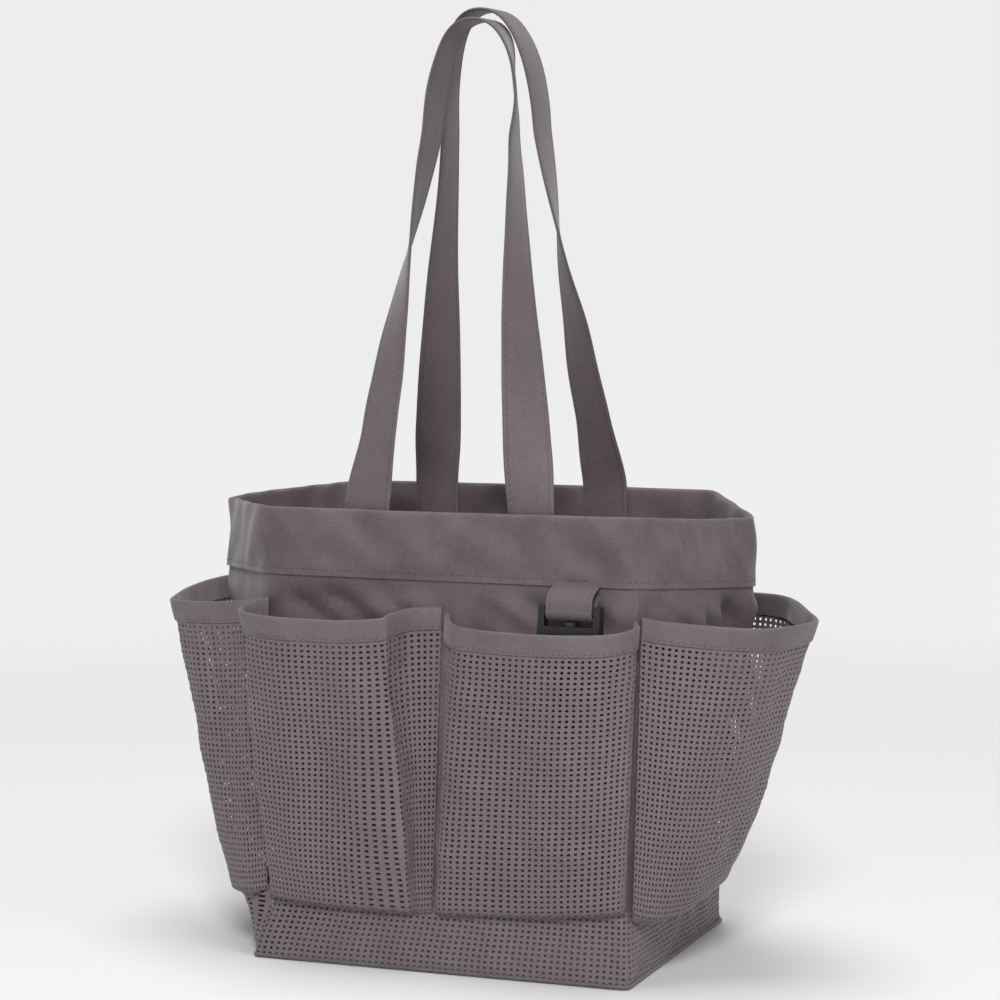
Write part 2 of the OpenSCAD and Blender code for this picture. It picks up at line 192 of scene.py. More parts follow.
def shell(name, points, thick, material, keep=None, wrap=False):
    """Closed sheet, thick through, about a grid of middle points. keep leaves cells out, as holes."""
    rows, cols = points.shape[:2]
    normal = grid_normals(points, wrap)
    vertices = np.concatenate([(points + s * thick / 2 * normal).reshape(-1, 3) for s in (1, -1)])
    cells = cols if wrap else cols - 1
    keep = np.ones((rows - 1, cells), bool) if keep is None else keep
    r, c = np.nonzero(keep)

    def at(row, col, layer):
        return layer * rows * cols + row * cols + col % cols

    def quads(*corners):
        return np.stack([at(*corner) for corner in corners], axis=1)

    faces = [
        quads((r, c, 0), (r, c + 1, 0), (r + 1, c + 1, 0), (r + 1, c, 0)),
        quads((r, c, 1), (r + 1, c, 1), (r + 1, c + 1, 1), (r, c + 1, 1)),
    ]
    around = np.zeros((rows + 1, cells + 2), bool)
    around[1:-1, 1:-1] = keep
    if wrap:
        # A wrapped sheet has no holes, and its last column meets its first
        around[1:-1, [0, -1]] = keep[:, [-1, 0]]
    # Upright cuts: a kept cell on one side only
    left, right = around[1:-1, :-1], around[1:-1, 1:]
    r, c = np.nonzero(right & ~left)
    faces.append(quads((r, c, 0), (r + 1, c, 0), (r + 1, c, 1), (r, c, 1)))
    r, c = np.nonzero(left & ~right)
    faces.append(quads((r + 1, c, 0), (r, c, 0), (r, c, 1), (r + 1, c, 1)))
    # Level cuts
    below, above = around[:-1, 1:-1], around[1:, 1:-1]
    r, c = np.nonzero(above & ~below)
    faces.append(quads((r, c + 1, 0), (r, c, 0), (r, c, 1), (r, c + 1, 1)))
    r, c = np.nonzero(below & ~above)
    faces.append(quads((r, c, 0), (r, c + 1, 0), (r, c + 1, 1), (r, c, 1)))
    uv = np.tile(lengths(points).reshape(-1, 2), (2, 1))
    return new_object(name, vertices, np.concatenate(faces), material, uv)


# Distance between strands across and up, the share of it that is strand, and the weave's rise
NET_PITCH = (3.5, 2.9)
STRAND = 0.54
WEAVE_RISE = 0.14


def strand_lines(length, pitch):
    """Both edges of each strand along a length, as shares of it."""
    count = max(2, round(length / pitch))
    middles = np.arange(count + 1) / count
    edge = STRAND / 2 / count
    return np.clip(np.stack([middles - edge, middles + edge], axis=1).ravel(), 0, 1)


def net(name, surface, width, height, material):
    """Net cloth with real square holes. surface(u, v) gives points for shares across and up."""
    u, v = strand_lines(width, NET_PITCH[0]), strand_lines(height, NET_PITCH[1])
    points = surface(*np.meshgrid(u, v))
    column, row = np.meshgrid(np.arange(len(u)), np.arange(len(v)))
    over = 1 - 2 * ((column + 1) // 2 + (row + 1) // 2 & 1)
    points = points + (WEAVE_RISE * over)[..., None] * grid_normals(points)
    keep = ~((column % 2 == 1) & (row % 2 == 1))[:-1, :-1]
    return shell(name, points, NET_T, material, keep)


# Length, width and height of one stitch, from one to the next, and how deep it sinks into the cloth
THREAD = (2.3, 0.55, 0.32)
STITCH_PITCH = 3.3
STITCH_SUNK = 0.1


def sampled(at, place, values):
    """Points or normals of a curve, read off at distances along it."""
    return np.stack([np.interp(at, place, values[:, k]) for k in range(3)], axis=1)


def stitch_rows(name, rows, material):
    """Rows of lock stitches. Each row is a curve of points and the normals of the cloth under it."""
    length, width, rise = THREAD
    # Three sections of four points each: (along, width, height), and (across, up) within them
    sections = [(-0.5, 0.55, 0.2), (0, 1, 1), (0.5, 0.55, 0.2)]
    outline = [(-1, 0), (1, 0), (0.7, 1), (-0.7, 1)]
    quads = [[r + k, r + (k + 1) % 4, r + (k + 1) % 4 + 4, r + k + 4] for r in (0, 4) for k in range(4)]
    quads = np.array(quads + [[3, 2, 1, 0], [8, 9, 10, 11]])
    corners = len(sections) * len(outline)
    vertices, faces, count = [], [], 0
    for curve, normals in rows:
        place = distances(curve)
        at = np.arange(STITCH_PITCH / 2, place[-1], STITCH_PITCH)
        spot = sampled(at, place, curve)
        up = unit(sampled(at, place, normals))
        along = unit(sampled(at + 0.5, place, curve) - sampled(at - 0.5, place, curve))
        side = np.cross(along, up)
        stitch = [
            spot + along * length * shift + side * width / 2 * wide * across
            + up * (rise * tall * lift - STITCH_SUNK)
            for shift, wide, tall in sections
            for across, lift in outline
        ]
        vertices.append(np.stack(stitch, axis=1).reshape(-1, 3))
        faces.append((np.arange(len(at))[:, None, None] * corners + quads[None]).reshape(-1, 4) + count)
        count += corners * len(at)
    return new_object(name, np.concatenate(vertices), np.concatenate(faces), material, sharp=80)


# ---- materials ----

class Nodes:
    """Short hand for building a node material round one Principled shader."""

    def __init__(self, name):
        self.material = bpy.data.materials.new(name)
        self.material.use_nodes = True
        self.tree = self.material.node_tree
        self.shader = self.tree.nodes["Principled BSDF"]

    def add(self, kind, **inputs):
        node = self.tree.nodes.new("ShaderNode" + kind)
        for key, value in inputs.items():
            self.feed(node.inputs[key.replace("_", " ")], value)
        return node

    def feed(self, socket, value):
        if isinstance(value, bpy.types.NodeSocket):
            self.tree.links.new(value, socket)
        else:
            socket.default_value = value

    def math(self, operation, a, b=0.0):
        node = self.tree.nodes.new("ShaderNodeMath")
        node.operation = operation
        self.feed(node.inputs[0], a)
        self.feed(node.inputs[1], b)
        return node.outputs[0]

    def noise(self, vector, scale, detail=2.0, rough=0.5):
        node = self.add("TexNoise", Vector=vector, Scale=scale, Detail=detail, Roughness=rough)
        return node.outputs["Fac"]

    def stretched(self, vector, scale):
        node = self.tree.nodes.new("ShaderNodeVectorMath")
        node.operation = "MULTIPLY"
        self.feed(node.inputs[0], vector)
        node.inputs[1].default_value = scale
        return node.outputs[0]

    def between(self, fac, dark, light):
        ramp = self.tree.nodes.new("ShaderNodeValToRGB")
        ramp.color_ramp.elements[0].color = (*dark, 1)
        ramp.color_ramp.elements[1].color = (*light, 1)
        ramp.color_ramp.elements[0].position = 0.25
        ramp.color_ramp.elements[1].position = 0.75
        self.feed(ramp.inputs[0], fac)
        return ramp.outputs[0]

    def bump(self, height, distance, strength=1.0):
        node = self.add("Bump", Height=height, Distance=distance, Strength=strength)
        self.feed(self.shader.inputs["Normal"], node.outputs[0])


def linear(r, g, b):
    """Linear colour from display values of 0 to 255."""
    return tuple(((c / 255 + 0.055) / 1.055) ** 2.4 for c in (r, g, b))


def shade(colour, k):
    """The colour, k times as light."""
    return tuple(c * k for c in colour)


# Fineness of a slub's noise across and along its yarn, and of the broad unevenness, per metre
SLUB_ACROSS, SLUB_ALONG = 1900, 190
BROAD = 26.0


def cloth(name, colour, weave, rough, sheen, contrast=0.10, slub=0.5, place="UV"):
    """Woven cloth: crossing yarns weave metres apart, slubs along both yarns and broad unevenness."""
    n = Nodes(name)
    if place == "UV":
        where = n.tree.nodes.new("ShaderNodeUVMap")
        where.uv_map = "cloth"
        where = where.outputs[0]
    else:
        where = n.add("TexCoord").outputs["Object"]
    split = n.add("SeparateXYZ", Vector=where)
    warp = n.math("SINE", n.math("MULTIPLY", split.outputs[0], math.tau / weave[0]))
    weft = n.math("SINE", n.math("MULTIPLY", split.outputs[1], math.tau / weave[1]))
    yarns = n.math("MULTIPLY", warp, weft)
    slubs = n.math("ADD", n.noise(n.stretched(where, (SLUB_ACROSS, SLUB_ALONG, 1)), 1.0, 3.0),
                   n.noise(n.stretched(where, (SLUB_ALONG, SLUB_ACROSS, 1)), 1.0, 3.0))
    broad = n.noise(n.add("TexCoord").outputs["Object"], BROAD, 3.0, 0.6)
    tone = n.math("ADD", n.math("MULTIPLY", slubs, slub), n.math("MULTIPLY", broad, 1 - slub))
    tone = n.math("ADD", tone, n.math("MULTIPLY", yarns, 0.08))
    tone = n.math("SUBTRACT", tone, 0.5 * slub - 0.12)
    n.feed(n.shader.inputs["Base Color"],
           n.between(tone, shade(colour, 1 - 2 * contrast), shade(colour, 1 + 1.6 * contrast)))
    n.feed(n.shader.inputs["Roughness"],
           n.math("ADD", rough - 0.05, n.math("MULTIPLY", broad, 0.12)))
    n.shader.inputs["Sheen Weight"].default_value = sheen
    n.shader.inputs["Sheen Roughness"].default_value = 0.45
    height = n.math("ADD", n.math("MULTIPLY", yarns, 0.5), n.math("MULTIPLY", slubs, 0.9))
    n.bump(height, 0.00012, 0.8)
    return n.material


def plastic(name, colour, rough):
    """Moulded plastic: fine pitting, and faint scuffs that change the gloss."""
    n = Nodes(name)
    where = n.add("TexCoord").outputs["Object"]
    grain = n.noise(where, 2600.0, 2.0)
    scuff = n.noise(n.stretched(where, (300, 300, 900)), 1.0, 4.0, 0.65)
    n.feed(n.shader.inputs["Base Color"], n.between(scuff, shade(colour, 0.8), shade(colour, 1.5)))
    n.feed(n.shader.inputs["Roughness"], n.math("ADD", rough - 0.08, n.math("MULTIPLY", scuff, 0.2)))
    n.bump(n.math("ADD", grain, n.math("MULTIPLY", scuff, 0.4)), 0.00005, 0.5)
    return n.material


FLOOR_TONE = 0.73
BACKDROP_TONE = (0.835, 0.835, 0.838)
# The glow starts this many metres from the bag's middle and is full one metre further out
GLOW_START = 0.35


def plain_floor(name):
    """Pale studio paper that glows from a little way round the bag outwards, like a lit backdrop."""
    n = Nodes(name)
    where = n.add("TexCoord").outputs["Object"]
    split = n.add("SeparateXYZ", Vector=where)
    x, y = split.outputs[0], split.outputs[1]
    away = n.math("POWER", n.math("ADD", n.math("MULTIPLY", x, x), n.math("MULTIPLY", y, y)), 0.5)
    glow = n.math("MAXIMUM", n.math("MINIMUM", n.math("ADD", away, -GLOW_START), 1.0), 0.0)
    mottle = n.math("MULTIPLY", n.noise(where, 1.1, 2.0), 0.02)
    paper = n.math("ADD", n.math("MULTIPLY", glow, -FLOOR_TONE), n.math("ADD", mottle, FLOOR_TONE))
    grey = n.add("CombineColor", Red=paper, Green=paper, Blue=paper)
    n.feed(n.shader.inputs["Base Color"], grey.outputs[0])
    n.shader.inputs["Emission Color"].default_value = (*BACKDROP_TONE, 1)
    n.feed(n.shader.inputs["Emission Strength"], glow)
    n.shader.inputs["Roughness"].default_value = 0.9
    n.shader.inputs["Specular IOR Level"].default_value = 0.1
    return n.material


WOVEN = cloth("woven_fabric", linear(78, 68, 72), (0.0009, 0.0008), 0.54, 0.2, 0.36, 0.35)
TAPE = cloth("binding_tape", linear(87, 78, 81), (0.0007, 0.0014), 0.6, 0.2, 0.2)
WEBBING = cloth("webbing", linear(82, 72, 75), (0.0011, 0.0009), 0.62, 0.22, 0.22)
NET = cloth("mesh_fabric", linear(98, 88, 91), (0.0006, 0.0006), 0.5, 0.12, 0.08, 0.4)
THREADS = cloth("sewing_thread", linear(66, 58, 60), (0.0006, 0.0006), 0.6, 0.2, place="Object")
PLASTIC = plastic("black_plastic", linear(16, 13, 13), 0.42)


# ---- body ----

# Corners in plan, anticlockwise from the front left; 2 and 5 are the folds of the side panels
ROUNDING = np.array([11.0, 11.0, 9.0, 11.0, 11.0, 9.0])
# The front left corner is drawn in where the band meets the body
PINCH = 9.0
PINCH_TOP = 150.0
RIM_Z = [RIM_FRONT, RIM_FRONT, RIM_SIDE, RIM_BACK, RIM_BACK, RIM_SIDE, RIM_FRONT]
# The side bands stand out between their corners, the left one more, and this dies away up to SWELL_TOP
SIDE_SWELL = 4.0
LEFT_SWELL = 1.4
SWELL_TOP = 90.0
# The left band also stands out behind the pinched corner, at this place round the plan
CORNER_SWELL = 24.0
CORNER_SWELL_AT = 5.84


def half_d(z):
    """Half the body's depth at a height."""
    return BASE_HALF_D + (RIM_HALF_D - BASE_HALF_D) * np.clip(z / NECK, 0, 1)


def fold(z, reach):
    """How far a side's fold stands out at a height; reach is its full width."""
    return reach * np.clip((z - BAND) / (FOLD_TOP - BAND), 0, 1) ** FOLD_POWER


def pinch(z):
    """How far the front left corner is drawn in at a height."""
    return PINCH * np.where(z < BAND, smooth(z / BAND), smooth((PINCH_TOP - z) / (PINCH_TOP - BAND)))


def swell(z):
    """How far the side bands stand out between their corners."""
    return SIDE_SWELL * np.clip(z / BAND, 0, 1) * smooth((SWELL_TOP - z) / (SWELL_TOP - BAND))


def plan_corners(z):
    """The plan's six corners at each height."""
    d, w = half_d(z), np.full_like(z, HALF_W)
    zero = np.zeros_like(z)
    return np.stack([
        np.stack([-w + pinch(z), -d + pinch(z) * 0.1], -1),
        np.stack([w, -d], -1),
        np.stack([w + fold(z, FOLD_RIGHT) + swell(z), zero], -1),
        np.stack([w, d], -1),
        np.stack([-w, d], -1),
        np.stack([-w - fold(z, FOLD_LEFT) - swell(z) * LEFT_SWELL, zero], -1),
    ])


def body_point(place, z):
    """Middle of the body's cloth at a place round the plan, counted in corners, and a height."""
    place, z = np.broadcast_arrays(np.asarray(place, float), np.asarray(z, float))
    shape, place, z = place.shape, place.ravel(), z.ravel()
    corners = plan_corners(z)
    k, here = np.floor(place).astype(int), np.arange(len(z))
    before, a, b, after = (corners[(k + j) % 6, here] for j in (-1, 0, 1, 2))
    length = np.linalg.norm(b - a, axis=1)
    run = (place - k) * length
    soft = np.clip((z - 2) / 40, 0.25, 1)
    round_a = np.minimum(ROUNDING[k % 6] * soft, length * 0.4)
    round_b = np.minimum(ROUNDING[(k + 1) % 6] * soft, length * 0.4)
    ahead, into, out = unit(b - a), unit(a - before), unit(after - b)
    flat = a + ahead * run[:, None]

    def bend(corner, arriving, leaving, r, s):
        r, s = r[:, None], s[:, None]
        start, end = corner - arriving * r, corner + leaving * r
        return (1 - s) ** 2 * start + 2 * s * (1 - s) * corner + s**2 * end

    near_a = bend(a, into, ahead, round_a, 0.5 + 0.5 * np.clip(run / round_a, 0, 1))
    near_b = bend(b, ahead, out, round_b, 0.5 * np.clip(1 - (length - run) / round_b, 0, 1))
    xy = np.where((run < round_a)[:, None], near_a, np.where((run > length - round_b)[:, None], near_b, flat))
    return np.concatenate([xy, z[:, None]], axis=1).reshape(*shape, 3)


def out_of(place, z, near=0.004):
    """Level outward normal of the body."""
    d = body_point(np.asarray(place) + near, z) - body_point(np.asarray(place) - near, z)
    return unit(np.stack([d[..., 1], -d[..., 0], 0 * d[..., 0]], -1))


def rim_at(place):
    """Height of the rim at a place round the plan."""
    return np.interp(np.mod(place, 6), np.arange(7), RIM_Z)


WALL_STEP = 3.2
PANEL_W = 200.0
WALL_LOW = BAND + 0.3
# The wall ends this far under the rim, inside the cuff's fold
WALL_UNDER_RIM = 1.8


def wall_grid(first, last):
    """Places and heights of a wall between two corners."""
    panels = last - first
    # The two halves of a side wall are narrower than the front
    width = panels * PANEL_W / (1 + panels * 0.25)
    place = np.linspace(first, last, int(width / WALL_STEP) + 2)
    top = rim_at(place) - WALL_UNDER_RIM
    rows = int((top.mean() - WALL_LOW) / WALL_STEP) + 2
    share = np.linspace(0, 1, rows)[:, None]
    return np.broadcast_to(place, (rows, len(place))), WALL_LOW + (top - WALL_LOW) * share


SIDES = {"front": (0, 1), "right": (1, 3), "back": (3, 4), "left": (4, 6)}


def body_ripple(points, size, seed):
    """Unevenness of the body's cloth, in slanting humps about size apart."""
    x, y, z = points[..., 0], points[..., 1], points[..., 2]
    return ripple(x + y, z * 0.6 + (x - y) * 0.3, size, seed)


def declare(obj, node, slot, flat, held, **more):
    """Sheet of cloth that belongs to the bag and stands for a CAD node."""
    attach(obj, "bag")
    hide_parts(node)


def middle_area(points):
    """Area in square metres, and greatest width and height in metres, of a grid."""
    a = points[1:, 1:] - points[:-1, :-1]
    b = points[1:, :-1] - points[:-1, 1:]
    area = np.linalg.norm(np.cross(a, b), axis=2).sum() / 2
    width = np.linalg.norm(np.diff(points, axis=1), axis=2).sum(1).max()
    height = np.linalg.norm(np.diff(points, axis=0), axis=2).sum(0).max()
    return area * MM * MM, round(width * MM, 3), round(height * MM, 3)


# How far the wall's unevenness goes in and out: dents, puckers and the creases of each side
DENT = 1.9
PUCKER = 1.2
CREASE = {"front": 3.5, "right": 1.5, "back": 3.5, "left": 1.5}
# The creases start at this height, a little below the pockets' mouths
CREASE_LOW = 168


def build_walls():
    for number, (side, (first, last)) in enumerate(SIDES.items()):
        place, z = wall_grid(first, last)
        points = body_point(place, z)
        edge = smooth(np.minimum(place - first, last - place) * 12)
        low_hem = smooth((z - BAND) / 12)
        high_hem = smooth((rim_at(place) - CUFF_H - z) / 13)
        # Broad dents, and finer upright puckers that hang from the cuff's seam
        dent = DENT * body_ripple(points, 58, 20 + number) * low_hem
        run = points[..., 0] + points[..., 1]
        hang = smooth((z - 90) / 70) * smooth((NECK + 8 - z) / 20)
        pucker = PUCKER * ripple(run, z * 0.25, 24, 40 + number) * hang
        # Creases above the pockets, where the cloth is slack
        slack = smooth((z - CREASE_LOW) / 16) * smooth((NECK + 4 - z) / 14)
        crease = CREASE[side] * ripple(run + z * 0.9, z * 0.5, 33, 60 + number) * slack
        # Inside the cuff the wall follows the cuff's own wave
        wave, _ = cuff_wave(place, np.clip(z - rim_at(place), -CUFF_H, 0))
        push = edge * high_hem * (dent + pucker + crease) + wave
        points = points + push[..., None] * out_of(place, z)
        wall = shell("wall_cloth_" + side, points, WALL_T, WOVEN)
        area, width, height = middle_area(points)
        declare(wall, "wall_" + side, "woven_fabric", (width, height), "hung", area=area)


CUFF_T = 0.8
# The cuff's two legs stand this far off the wall, less so by this share at the wall's corner seams
CUFF_OUT = 1.3
SEAM_PRESS = 0.32
CUFF_SAG = 0.9
# How far the cuff goes in and out: broad waves, finer waves, and puckers along its stitching
CUFF_BROAD = 1.6
CUFF_FINER = 0.9
CUFF_PUCKER = 0.22
# The folded cloth that makes the cuff is this much more than twice its height
CUFF_TURN = 4
CUFF_STITCH_UP = 3.2
CUFF_STITCH_OUT = 0.42


def cuff_point(place, up, out):
    """Point of the cuff: up from the rim's own height, out from the wall."""
    rim = rim_at(place)
    z = np.minimum(rim + up, rim)
    points = body_point(place, z) + out_of(place, z) * out[..., None]
    sag = CUFF_SAG * ripple(place * 60, 0 * place, 90, 77) * smooth((up + CUFF_H) / CUFF_H)
    points[..., 2] = rim + up + sag
    return points


def cuff_wave(place, up):
    """How far the cuff waves in and out, and how near a place is to a corner seam, as a share."""
    around = body_point(place, np.full_like(place, NECK))
    run = around[..., 0] * 0.8 + around[..., 1] * 1.1
    above = up + CUFF_H
    wave = CUFF_BROAD * ripple(run, around[..., 1], 88, 71) * smooth(above / 30 + 0.04)
    wave = wave + CUFF_FINER * ripple(run, around[..., 1] + up, 27, 72) * smooth(above / 12 + 0.1)
    wave = wave + CUFF_PUCKER * ripple(run, around[..., 1] * 0.3, 7, 73) * np.exp(-((above - 4) / 5) ** 2)
    seam = sum(np.exp(-((np.mod(place - k + 3, 6) - 3) / 0.011) ** 2) for k in (0, 1, 3, 4))
    return wave, seam


def build_cuff():
    place = np.arange(0, 6, 1 / 64)
    legs = [(-CUFF_H * (1 - s), CUFF_OUT) for s in np.linspace(0, 1, 15)]
    over = [(CUFF_OUT * math.sin(a), CUFF_OUT * math.cos(a)) for a in np.linspace(0, math.pi, 8)[1:-1]]
    inner = [(-CUFF_H * s, -CUFF_OUT) for s in np.linspace(0, 1, 10)]
    profile = np.array(legs + over + inner)
    places, up = np.meshgrid(place, profile[:, 0])
    out = np.broadcast_to(profile[:, 1:2], up.shape)
    wave, seam = cuff_wave(places, np.minimum(up, 0))
    # The lower edge stands off a little between stitches
    lip = 0.2 * np.exp(-((up + CUFF_H) / 1.6) ** 2) * np.sign(out)
    points = cuff_point(places, up, out * (1 - SEAM_PRESS * seam) + wave + lip)
    cuff = shell("cuff_cloth", points, CUFF_T, WOVEN, wrap=True)
    flat = (round(distances(points[0])[-1] * MM, 3), (2 * CUFF_H + CUFF_TURN) * MM)
    declare(cuff, "top_cuff", "woven_fabric", flat, "folded", rests_on=["wall_cloth_front"])


def cuff_stitch_row(side):
    """Curve and normals of the stitches along the cuff's foot, outside (1) or inside (-1)."""
    place = np.linspace(0, 6, 1500)
    ups = np.full_like(place, -CUFF_H + CUFF_STITCH_UP)
    wave, seam = cuff_wave(place, ups)
    curve = cuff_point(place, ups, side * CUFF_OUT * (1 - SEAM_PRESS * seam) + wave + side * CUFF_STITCH_OUT)
    return curve, out_of(place, rim_at(place) + ups) * side


# The band bows out between its corners, and waves
BAND_BOW = 1.2
BAND_WAVE = 0.7


def band_point(place, z):
    """Point of the band. Its left side stands out beside the pinched front corner."""
    points = body_point(place, z)
    lift = smooth(z / 6) * smooth((BAND - z) / 6)
    held = np.abs(np.cos(np.pi * place))
    turn = np.mod(place, 6)
    corner = np.exp(-((turn - CORNER_SWELL_AT) / 0.14) ** 2) * smooth((6 - turn) / 0.1)
    bow = BAND_BOW * lift * (1 - held) + BAND_WAVE * lift * body_ripple(points, 34, 9)
    bow = bow + CORNER_SWELL * corner * z / BAND
    return points + bow[..., None] * out_of(place, z)


# The bottom ends this far inside the band
BOTTOM_IN = 0.8


def build_base():
    for side, (first, last) in SIDES.items():
        def surface(u, v, first=first, last=last):
            return band_point(first + (last - first) * u, 1.0 + (BAND - 0.6) * v)
        points = surface(*np.meshgrid(np.linspace(0, 1, 80), np.linspace(0, 1, 20)))
        area, width, height = middle_area(points)
        band = net("band_net_" + side, surface, width / MM, height / MM, NET)
        declare(band, "base_band_" + side, "mesh_fabric", (width, height), "stretched", area=area)

    def floor(u, v):
        x = (2 * u - 1) * (HALF_W - BOTTOM_IN)
        y = (2 * v - 1) * (BASE_HALF_D - BOTTOM_IN)
        return np.stack([x, y, 0.9 + 0.25 * (1 + ripple(x, y, 60, 3, 5)) / 2], -1)
    bottom = net("bottom_net", floor, 2 * HALF_W, 2 * BASE_HALF_D, NET)
    declare(bottom, "bottom_panel", "mesh_fabric", (2 * HALF_W * MM, 2 * BASE_HALF_D * MM), "stretched")


def tube(name, curve, radius, material, sides=8):
    """Round piping along a closed curve."""
    ahead = unit(np.roll(curve, -1, axis=0) - np.roll(curve, 1, axis=0))
    side = unit(np.cross(ahead, [0, 0, 1.0]))
    up = np.cross(side, ahead)
    angles = np.arange(sides) / sides * math.tau
    rings = curve[:, None] + radius * (
        np.cos(angles)[None, :, None] * side[:, None] + np.sin(angles)[None, :, None] * up[:, None])
    faces = ring_faces(len(curve), sides, closed=True)
    uv = np.stack(np.broadcast_arrays(angles[None] * radius, np.arange(len(curve))[:, None]), -1) * MM
    return new_object(name, rings.reshape(-1, 3), faces, material, uv.reshape(-1, 2))


FOOT_SEAM_Z = 1.2


def build_piping():
    """Sewn seam allowances: round the foot of the band and where the band meets the body."""
    place = np.linspace(0, 6, 361)[:-1]
    foot_z, waist_z = np.full_like(place, FOOT_SEAM_Z), np.full_like(place, BAND)
    foot = body_point(place, foot_z) + out_of(place, foot_z) * 0.3
    waist = band_point(place, waist_z) + out_of(place, waist_z) * 0.2
    for name, curve, radius in (("foot_seam", foot, 1.1), ("waist_seam", waist, 0.9)):
        seam = tube(name, curve, radius, TAPE)
        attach(seam, "bag")


# ---- pockets ----

# A pocket's outlines hold (across, out, up) for points from seam to seam: across is a share of the half
# width between the seams, out a share of the depth, up the height from the mouth's or the floor's seam
FACE_MOUTH = [(-1, 0, -3), (-0.91, 0.42, -5.5), (-0.74, 0.8, -7.5), (-0.42, 0.94, -8.5), (0, 1, -9),
              (0.42, 0.98, -8.8), (0.8, 0.86, -8), (1.0, 0.52, -6.5), (1.06, 0.25, -5), (1, 0, -3)]
FACE_FLOOR = [(-1, 0, 0), (-0.98, 0.5, -0.3), (-0.93, 0.9, -0.5), (-0.6, 1, 0.3), (-0.1, 1.1, 1.5),
              (0.32, 1.1, 3), (0.7, 1.05, 5), (0.93, 0.9, 7), (0.98, 0.5, 7.5), (0.99, 0, 7.5)]
LEFT_MOUTH = [(-1, 0, 1), (-1.12, 0.2, -1), (-1.21, 0.42, -3), (-1.15, 0.78, -5), (-0.82, 0.95, -6.2),
              (-0.25, 1, -6.8), (0.16, 0.97, -6.4), (0.46, 0.9, -5), (0.53, 0.82, -4), (0.55, 0.62, -3),
              (0.68, 0.18, -1), (1, 0.02, 0)]
LEFT_FLOOR = [(-0.86, 0, 3), (-0.83, 0.3, 2.5), (-0.8, 0.6, 2), (-0.77, 0.9, 1.5), (-0.58, 1, 0.5),
              (-0.17, 1.1, -0.5), (0.24, 1.1, -1), (0.72, 1.1, -1), (0.8, 1, -0.8), (0.82, 0.75, -0.6),
              (0.87, 0.35, -0.5), (1, 0.02, 0)]
RIGHT_MOUTH = [(-1, 0, -1), (-0.89, 0.13, -3.5), (-0.8, 0.4, -5.5), (-0.72, 0.67, -6.5),
               (-0.6, 0.86, -6.5), (-0.38, 0.96, -6.5), (-0.12, 1, -6), (0.16, 0.87, -3.5),
               (0.48, 0.71, -1.5), (0.78, 0.5, -1), (0.91, 0.22, -1), (1, 0, 0)]
RIGHT_FLOOR = [(-0.98, 0, 4), (-0.94, 0.25, 2), (-0.84, 0.65, 0), (-0.66, 0.9, -1), (-0.46, 1, -1),
               (-0.23, 1.03, 0), (0, 1.03, 0.5), (0.23, 1, 0.5), (0.43, 0.93, 0), (0.63, 0.7, 0),
               (0.81, 0.35, 0), (0.98, 0, 0)]
WIDE_MOUTH = [(-1, 0, 0), (-0.87, 0.2, -3), (-0.8, 0.45, -5), (-0.74, 0.68, -5.6), (-0.66, 0.8, -5.5),
              (-0.4, 0.86, -5), (-0.1, 0.89, -3.5), (0.25, 0.88, -2), (0.55, 0.82, -1), (0.74, 0.66, -0.5),
              (0.88, 0.33, 0), (1, 0, 0)]
WIDE_FLOOR = [(-1, -0.5, 3), (-1, 0.1, 1), (-0.95, 0.8, 0), (-0.84, 1.2, 0), (-0.66, 1.1, 0),
              (-0.38, 0.95, 0), (-0.1, 0.85, 0), (0.18, 0.8, 0), (0.45, 0.7, 0), (0.66, 0.5, 0),
              (0.85, 0.25, 0), (0.98, 0, 0)]


def mirrored(outline):
    """The outline with left and right changed over."""
    return [(-a, o, u) for a, o, u in reversed(outline)]


FACE_FLOOR_DEPTH = 5.5
SIDE_FLOOR_DEPTH = 15.0
# A front or back pocket's net stands out by this much less than its CAD box is deep
FACE_BOX_SPARE = 9
SEAM_OFF = 1.4
# Under the floor the net turns in by this share of its depth, and drops by this much
TUCK_IN = 0.92
TUCK_DROP = 2.2
# How far slack net goes in and out, in broad and in finer waves
NET_BROAD = 1.5
NET_FINER = 0.5
TAPE_H = 10.5
TAPE_T = 0.6
TAPE_R = 0.95
TAPE_PUCKER = 0.16
# The tape is cut this much wider than twice its height, for its fold
TAPE_TURN = 3
TAPE_STITCH_UP = 1.4
TAPE_STITCH_OUT = 1.25


